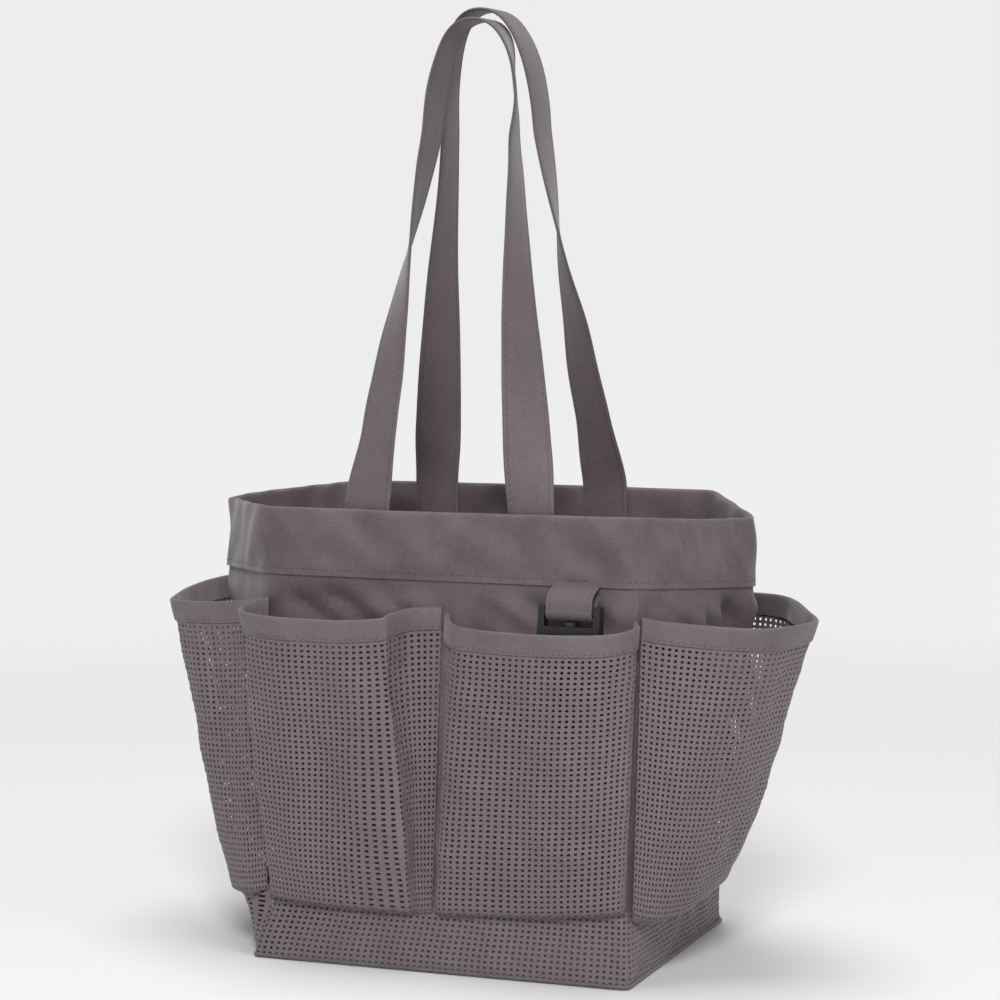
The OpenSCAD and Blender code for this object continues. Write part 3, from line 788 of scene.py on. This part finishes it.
class Pocket:
    """Net pocket sewn to one side of the body, with outlines at its mouth and its floor."""

    def __init__(self, name, side, mouth, floor, profile, seed):
        self.name, self.side, self.profile, self.seed = name, side, profile, seed
        lo, hi = low("pocket_" + name), high("pocket_" + name)
        self.floor_z, self.mouth_z = lo[2], hi[2]
        if side in ("front", "back"):
            self.middle, self.half = (lo[0] + hi[0]) / 2, (hi[0] - lo[0]) / 2
            self.depth = (hi[1] - lo[1]) - FACE_BOX_SPARE
            self.floor_depth = FACE_FLOOR_DEPTH
        else:
            self.depth = max(-lo[0], hi[0]) - HALF_W - SEAM_OFF
            self.floor_depth = SIDE_FLOOR_DEPTH
        self.mouth, self.floor = np.array(mouth), np.array(floor)
        q = np.linspace(0, len(mouth) - 1, 600)
        run = distances(self.points(q, np.ones_like(q)))
        self.width, self.share, self.q = run[-1], run / run[-1], q
        self.height = self.mouth_z - self.floor_z
        self.tuck = self.floor_depth

    def points(self, q, v):
        """Points at q along the outlines and v up; below 0 the net turns in under the pocket."""
        up = np.clip(v, 0, 1)
        grow = up**self.profile
        mouth, floor = catmull(self.mouth, q), catmull(self.floor, q)
        z = (self.floor_z + floor[..., 2]) * (1 - up) + (self.mouth_z + mouth[..., 2]) * up
        across = floor[..., 0] + (mouth[..., 0] - floor[..., 0]) * up
        out = floor[..., 1] * self.floor_depth * (1 - grow) + mouth[..., 1] * self.depth * grow
        under = np.clip(-v, 0, 1)
        out = out * (1 - TUCK_IN * under)
        z = z - TUCK_DROP * np.sin(under * math.pi / 2)
        if self.side in ("front", "back"):
            s = -1 if self.side == "front" else 1
            return np.stack([self.middle + self.half * across * -s, s * (half_d(z) + SEAM_OFF + out), z], -1)
        s = 1 if self.side == "right" else -1
        return np.stack([s * (HALF_W + SEAM_OFF + out), half_d(z) * across * s, z], -1)

    def place(self, u):
        """Place along the outlines for a share of the mouth's length."""
        return np.interp(u, self.share, self.q)

    def normal(self, u, v):
        """Outward normal of the net for shares across and up."""
        def at(u, v):
            return self.points(self.place(u), v)

        across = at(np.clip(u + 0.002, 0, 1), v) - at(np.clip(u - 0.002, 0, 1), v)
        along = at(u, v + 0.01) - at(u, v - 0.01)
        # Near the mouth the steps stay on the net
        inside = np.clip(v, 0.02, 0.98)
        steep = at(u, inside + 0.01) - at(u, inside - 0.01)
        return unit(np.cross(across, np.where(v[..., None] > 0.9, steep, along)))

    def surface(self, u, v):
        """Points for shares across and up the net, uneven as slack net is."""
        points = self.points(self.place(u), v)
        a, b = u * self.width, v * self.height
        free = smooth(np.minimum(u, 1 - u) * 9) * smooth(v * 5) * smooth((1.12 - v) * 4)
        slack = NET_BROAD * ripple(a, b * 0.35, 58, self.seed) + NET_FINER * ripple(a, b, 24, self.seed + 1)
        return points + (free * slack)[..., None] * self.normal(u, v)

    def net_surface(self, u, w):
        """The same, for a share w of the net's whole length, the turned-in part included."""
        total = self.height + self.tuck
        run = w * total - self.tuck
        return self.surface(u, np.where(run < 0, run / self.tuck, run / self.height))


POCKETS = [
    Pocket("front_left", "front", LEFT_MOUTH, LEFT_FLOOR, 0.75, 100),
    Pocket("front_right", "front", FACE_MOUTH, FACE_FLOOR, 0.64, 110),
    Pocket("right", "right", RIGHT_MOUTH, RIGHT_FLOOR, 0.72, 120),
    Pocket("back_left", "back", mirrored(FACE_MOUTH), mirrored(FACE_FLOOR), 0.75, 130),
    Pocket("back_right", "back", FACE_MOUTH, FACE_FLOOR, 0.75, 140),
    Pocket("left", "left", mirrored(WIDE_MOUTH), mirrored(WIDE_FLOOR), 0.85, 150),
]


def tape_profile():
    """(down from the mouth, out from the net's middle) round the folded tape, outer leg first."""
    outer = [(TAPE_H * (1 - s), TAPE_R + 0.12 * math.sin(math.pi * s)) for s in np.linspace(0, 1, 7)]
    over = [(-TAPE_R * math.sin(a), TAPE_R * math.cos(a)) for a in np.linspace(0, math.pi, 6)[1:-1]]
    inner = [(TAPE_H * s, -TAPE_R) for s in np.linspace(0, 1, 5)]
    return np.array(outer + over + inner)


def tape_points(pocket, u, down, out):
    """Points of the tape: down the net from its mouth, and out from the net."""
    v = 1 - np.maximum(down, 0) / pocket.height
    points = pocket.surface(u, v)
    normal = pocket.normal(u, np.full_like(u, 0.97))
    up = unit(pocket.surface(u, np.ones_like(u)) - pocket.surface(u, np.full_like(u, 0.97)))
    lift = np.maximum(-down, 0)
    pucker = TAPE_PUCKER * np.sin(u * pocket.width / 2.6) * np.exp(-((down - TAPE_H + 1.5) / 2.5) ** 2)
    return points + normal * (out + pucker * np.sign(out))[..., None] + up * lift[..., None], normal


def build_pockets():
    """Nets and tapes of all pockets. Returns the rows of stitches that hold the tapes."""
    rows = []
    for pocket in POCKETS:
        grid = np.meshgrid(np.linspace(0, 1, 90), np.linspace(0, 1, 60))
        area, width, height = middle_area(pocket.net_surface(*grid))
        piece = net("net_" + pocket.name, pocket.net_surface, pocket.width, pocket.height + pocket.tuck, NET)
        declare(piece, "pocket_" + pocket.name, "mesh_fabric", (width, height), "gathered", area=area,
                rests_on=["wall_cloth_front"])
        profile = tape_profile()
        u, down = np.meshgrid(np.linspace(0, 1, int(pocket.width / 1.6)), profile[:, 0])
        out = np.broadcast_to(profile[:, 1:2], down.shape)
        points, _ = tape_points(pocket, u, down, out)
        tape = shell("tape_cloth_" + pocket.name, points, TAPE_T, TAPE)
        flat = (round(pocket.width * MM, 3), (2 * TAPE_H + TAPE_TURN) * MM)
        declare(tape, "tape_" + pocket.name, "binding_tape", flat, "folded", rests_on=["net_" + pocket.name])
        u = np.linspace(0.004, 0.996, 500)[None]
        depth = np.full_like(u, TAPE_H - TAPE_STITCH_UP)
        curve, normal = tape_points(pocket, u, depth, np.full_like(u, TAPE_STITCH_OUT))
        rows.append((curve[0], normal[0]))
    return rows


# ---- handles ----

STRAP_W = 25.0
STRAP_T = 1.6
ARCH_H = 62.0
# The arch is a little squarer than an ellipse, and its upper half leans to the right
ARCH_POWER = 0.78
TOP_LEAN = 3.5
# The loops' tops are this far in front of and behind the middle
TOP_APART = 7.0
# The webbing is sewn this far in from its edges, and turns this much just above its foot
STITCH_IN = 2.3
FOOT_TURN = 22.0
RING_STEP = 2.6
WEBBING_WAVE = 0.3


class Handle:
    """Webbing loop whose flat ends are sewn inside the cuff. s is -1 in front and 1 behind.

    turns holds, for the left and the right leg, how late the leg turns on its way up (a power), and how
    many degrees it turns beyond that near the top."""

    def __init__(self, name, s, arch_w, apex_x, droop, turns, seed):
        self.name, self.s, self.turns, self.seed = name, s, turns, seed
        self.arch_w, self.apex_x = arch_w, apex_x
        ends, loop = "handle_" + name + "_ends", "handle_" + name
        self.mid = (low(ends)[0] + high(ends)[0]) / 2
        self.legs = high(ends)[0] - low(ends)[0] - STRAP_W
        hinge = joint(name + "_handle_swing")["pos_m"]
        self.hinge_y, self.hinge_z = hinge[1] / MM, hinge[2] / MM
        self.rise = high(loop)[2] - self.hinge_z - STRAP_T / 2 - droop
        self.foot = low(ends)[2]
        self.top_y = s * TOP_APART

    def path(self, f):
        """Points at f from -2 to 2, left foot to right foot, with 0 at the top. Past 2 lies the sewn end."""
        g = 2 - np.abs(f)
        leg_h = self.rise - ARCH_H
        half = np.where(g <= 1, self.legs / 2 + (self.arch_w - self.legs) / 2 * g,
                        self.arch_w / 2 * np.cos(math.pi / 2 * np.clip(g - 1, 0, 1)) ** ARCH_POWER)
        up = np.where(g <= 1, leg_h * g, leg_h + ARCH_H * np.sin(math.pi / 2 * (g - 1)))
        share = np.clip(up / self.rise, 0, 1)
        x = self.mid + (self.apex_x - self.mid) * share + np.sign(f) * half
        x = x + TOP_LEAN * smooth((g - 0.45) / 0.7)
        # The sewn end runs straight down inside the cuff
        sewn = g < 0
        x = np.where(sewn, self.mid + np.sign(f) * self.legs / 2, x)
        z = self.hinge_z + np.where(sewn, g * (self.hinge_z - self.foot), up)
        y = self.hinge_y + (self.top_y - self.hinge_y) * share
        return np.stack([x, y, z], -1)

    def turn(self, f):
        """Degrees the webbing has turned about its own length: 0 at the foot, 90 over the top."""
        g = 2 - np.abs(f)
        (left_power, left_beyond), (right_power, right_beyond) = self.turns
        quarter = 90 * smooth(g) ** np.where(f < 0, left_power, right_power)
        beyond = np.where(f < 0, left_beyond, right_beyond)
        early = FOOT_TURN * smooth(g * 5) * (1 - smooth(g))
        return quarter + early + beyond * np.exp(-((g - 1.3) / 0.32) ** 2)

    def run(self):
        """Centres, directions across and through, and distances, at even steps along the webbing."""
        f = np.concatenate([np.linspace(-3, -2, 12)[:-1], np.linspace(-2, 2, 260), np.linspace(2, 3, 12)[1:]])
        along = distances(self.path(f))
        even = np.linspace(0, along[-1], int(along[-1] / RING_STEP))
        f = np.interp(even, along, f)
        centre = self.path(f)
        for _ in range(4):
            centre[1:-1] = (centre[:-2] + 2 * centre[1:-1] + centre[2:]) / 4
        ahead = unit(np.gradient(centre, axis=0))
        a = np.radians(self.s * np.where(f < 0, self.turn(f), 180 - self.turn(f)))
        wide = np.stack([np.cos(a), np.sin(a), 0 * a], -1)
        wide = unit(wide - (wide * ahead).sum(1, keepdims=True) * ahead)
        face = np.cross(ahead, wide)
        wave = WEBBING_WAVE * ripple(even, 0 * even, 46, self.seed) * smooth((2.1 - np.abs(f)) * 3)
        return centre + wave[:, None] * face, wide, face, even

    def outline(self):
        """Section of folded and stitched webbing: flat faces, round edges, a dip along each seam."""
        half = STRAP_W / 2
        # (in from the edge, share of the half thickness)
        left = np.array([(0.35, 0.62), (1.2, 0.95), (STITCH_IN, 0.74), (3.6, 1.0), (half - 4, 1.05)])
        left = left * [1, STRAP_T / 2] - [half, 0]
        top = np.vstack([left, left[::-1] * [-1, 1]])
        return np.vstack([[[-half, 0]], top, [[half, 0]], top[::-1] * [1, -1]])

    def build(self):
        """Webbing, and the two seams along it on both faces."""
        outline = self.outline()[::-1]
        centre, wide, face, even = self.run()
        rings = (centre[:, None] + outline[None, :, 0:1] * wide[:, None]
                 + outline[None, :, 1:2] * face[:, None])
        n, m = rings.shape[:2]
        # Each end closes with quads between its two faces
        caps = []
        for k in range(m // 2 - 1):
            quad = [k, k + 1, (m - 2 - k) % m, (m - 1 - k) % m]
            caps.append(quad[::-1])
            caps.append([(n - 1) * m + c for c in quad])
        around = distances(outline)
        uv = np.stack(np.broadcast_arrays(around[None], even[:, None]), -1).reshape(-1, 2) * MM
        strap = new_object("strap_" + self.name, rings.reshape(-1, 3),
                           np.vstack([ring_faces(n, m), caps]), WEBBING, uv, sharp=60)
        rows = []
        for side in (-1, 1):
            for through in (-1, 1):
                edge = side * (STRAP_W / 2 - STITCH_IN)
                rows.append((centre + wide * edge + face * through * STRAP_T * 0.4, face * through))
        thread = stitch_rows("strap_stitches_" + self.name, rows, THREADS)
        self.blend(strap)
        self.blend(thread)
        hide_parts("handle_" + self.name, "handle_" + self.name + "_ends")

    def blend(self, obj):
        """Bakes the piece's placement into its mesh."""
        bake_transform(obj)


# ---- tab and snap hook ----

TAB_T = 1.1
# The tab's middle runs round the hook's bar at this radius, from the middle of the bar
TAB_R = 3.4
# Its route down to the front of the bar and back up behind it, as (in towards the wall, up)
TAB_DOWN = [(8.4, 16), (7.6, 13.2), (4.2, 11.6), (0, 9.6), (-2.8, 6.4)]
TAB_UP = [(6.2, 4.5), (8.6, 8.5)]


def build_tab():
    """Tab of webbing that hangs from under the cuff and holds the hook's bar. Returns its stitches."""
    pivot = np.array(joint("clip_swing")["pos_m"]) / MM
    axis = np.array(joint("hook_swivel")["axis"])
    up, out = axis / np.linalg.norm(axis), np.cross([1, 0, 0], axis)
    half_w = (high("clip_tab")[0] - low("clip_tab")[0]) / 2
    wrap = [(TAB_R * math.cos(a), TAB_R * math.sin(a)) for a in np.radians(np.arange(165, 376, 14))]
    route = TAB_DOWN + wrap + TAB_UP
    path = catmull(route, np.linspace(0, len(route) - 1, 90))
    across = np.linspace(-half_w, half_w, 26)
    places, x = np.meshgrid(np.arange(len(path)), across, indexing="ij")
    points = (pivot + np.array([1.0, 0, 0]) * x[..., None]
              - out * path[places][..., 0:1] + up * path[places][..., 1:2])
    points = points[:, ::-1]
    tab = shell("tab_cloth", points, TAB_T, WEBBING)
    flat = (2 * half_w * MM, round(distances(path)[-1] * MM, 3))
    declare(tab, "clip_tab", "webbing", flat, "folded")
    normal = grid_normals(points)
    # A row near each edge, on both faces
    return [(points[4:40, k] + normal[4:40, k] * (face * TAB_T / 2), normal[4:40, k] * face)
            for k in (2, 23) for face in (1, -1)]


def rounded_copy(node, body, width):
    """Copy of a CAD piece with its edges rounded, standing for that piece."""
    mesh = frame["nodes"][node].data.copy()
    shape = bmesh.new()
    shape.from_mesh(mesh)
    bmesh.ops.remove_doubles(shape, verts=shape.verts, dist=1e-6)
    bmesh.ops.dissolve_limit(shape, angle_limit=math.radians(1), verts=shape.verts, edges=shape.edges)
    shape.to_mesh(mesh)
    shape.free()
    obj = linked(node + "_moulded", mesh)
    bevel = obj.modifiers.new("edges", "BEVEL")
    bevel.width, bevel.segments = width * MM, 2
    bevel.limit_method, bevel.angle_limit = "ANGLE", math.radians(35)
    bevel.use_clamp_overlap = True
    obj.data.materials.clear()
    obj.data.materials.append(PLASTIC)
    obj.data.shade_smooth()
    weighted = obj.modifiers.new("shading", "WEIGHTED_NORMAL")
    weighted.keep_sharp = True
    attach(obj, body)
    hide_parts(node)


# ---- stage, light and camera ----

# Radius of the flat floor, of the curve that turns its edge up and height of the edge, in metres
FLOOR_R = 4.0
EDGE_R = 1.4
EDGE_TOP = 2.2
FLOOR_SIDES = 64
# Millimetres from the bag's foot down to the floor
FLOOR_DROP = 0.4


def build_stage():
    """Pale round floor whose edge turns up out of sight."""
    profile = [(0.01, 0), (0.5, 0), (1.5, 0), (3.0, 0), (FLOOR_R, 0)]
    for a in np.linspace(0.1, 1.57, 12):
        profile.append((FLOOR_R + EDGE_R * math.sin(a), EDGE_R - EDGE_R * math.cos(a)))
    profile = np.array(profile + [(FLOOR_R + EDGE_R, EDGE_TOP)]) / MM
    angles = np.arange(FLOOR_SIDES) / FLOOR_SIDES * math.tau
    height = np.broadcast_to(profile[:, 1:2] - FLOOR_DROP, (len(profile), FLOOR_SIDES))
    rings = np.stack([profile[:, 0:1] * np.cos(angles), profile[:, 0:1] * np.sin(angles), height], -1)
    # Turned over, so that the floor faces up
    faces = ring_faces(len(profile), FLOOR_SIDES)[:, [0, 3, 2, 1]]
    floor = new_object("floor", rings.reshape(-1, 3), faces, plain_floor("floor"))


def area_light(name, place, aim, size, power):
    light = bpy.data.lights.new(name, "AREA")
    light.shape, light.size, light.energy = "DISK", size, power
    obj = linked(name, light)
    obj.location = place
    direction = np.array(place) - np.array(aim)
    obj.rotation_euler = (
        math.atan2(math.hypot(direction[0], direction[1]), direction[2]), 0,
        math.atan2(direction[1], direction[0]) + math.pi / 2)


def build_light():
    world = bpy.data.worlds.new("studio")
    world.use_nodes = True
    background = world.node_tree.nodes["Background"]
    background.inputs["Color"].default_value = (1, 1, 1, 1)
    background.inputs["Strength"].default_value = 0.24
    bpy.context.scene.world = world
    middle = (0, 0, 0.2)
    area_light("key", (0.9, -2.6, 2.1), middle, 0.9, 74)
    area_light("fill", (2.6, -0.6, 1.2), middle, 1.4, 10)
    area_light("top", (-0.2, 0.2, 2.6), middle, 1.5, 38)
    bpy.context.scene.view_settings.view_transform = "Standard"


def build_camera():
    """Camera at the reference's angle: turned about Z and tilted down, in degrees, from its aim."""
    turned, down, distance, lens = 20.65, 5.06, 1.6056, 109.6
    aim = np.array([0.0037, 0, 0.2352])
    a, e = math.radians(turned), math.radians(down)
    place = aim + distance * np.array([math.sin(a) * math.cos(e), -math.cos(a) * math.cos(e), math.sin(e)])
    camera = linked("camera", bpy.data.cameras.new("camera"))
    camera.data.lens, camera.data.sensor_width = lens, 36
    camera.location = place
    camera.rotation_euler = (math.pi / 2 - e, 0, a)
    bpy.context.scene.camera = camera


# ---- make everything ----

build_walls()
build_cuff()
build_base()
build_piping()
tape_rows = build_pockets()
Handle("front", -1, arch_w=46.5, apex_x=-8.5, droop=1.8, turns=((1.5, 4), (0.8, 21)), seed=5).build()
Handle("back", 1, arch_w=51.5, apex_x=-9.5, droop=0.0, turns=((0.8, 2), (1.4, 3)), seed=8).build()
tab_rows = build_tab()
cuff_rows = [cuff_stitch_row(1), cuff_stitch_row(-1)]
threads = stitch_rows("bag_stitches", tape_rows + tab_rows + cuff_rows, THREADS)
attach(threads, "bag")
rounded_copy("clip_frame", "clip", 0.7)
rounded_copy("hook_body", "hook", 0.45)
rounded_copy("hook_gate", "gate", 0.35)
build_stage()
build_light()
build_camera()
